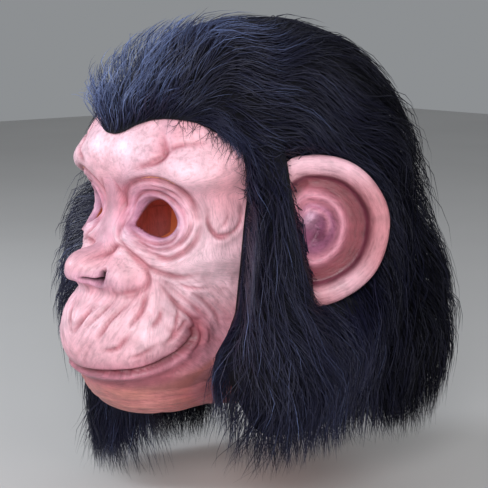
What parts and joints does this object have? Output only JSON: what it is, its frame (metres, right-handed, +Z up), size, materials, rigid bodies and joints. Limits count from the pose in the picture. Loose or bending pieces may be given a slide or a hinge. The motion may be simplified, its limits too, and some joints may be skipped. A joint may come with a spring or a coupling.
{
  "type": "monkey mask",
  "caption": "Hollow full-head chimpanzee mask: soft latex face and hood with open eyes and neck, moulded ears and long dark fur.",
  "frame": {"origin": "inside of the crown, where the mask sits on the head", "axes": "+Z up, the face looks along -Y, the wearer's left is +X"},
  "size_m": [0.2624, 0.3066, 0.3462],
  "materials": {
    "latex_face": "satin painted latex, pink with red and violet shading",
    "latex_ear": "satin painted latex, violet pink, darker in the hollow",
    "long_fur": "long glossy pile fur, blue black"
  },
  "bodies": {
    "root": {"mask_shell": "latex_face", "ear_left": "latex_ear", "ear_right": "latex_ear", "fur_crown": "long_fur", "fur_side_left": "long_fur", "fur_side_right": "long_fur", "fur_back": "long_fur"}
  },
  "joints": []
}
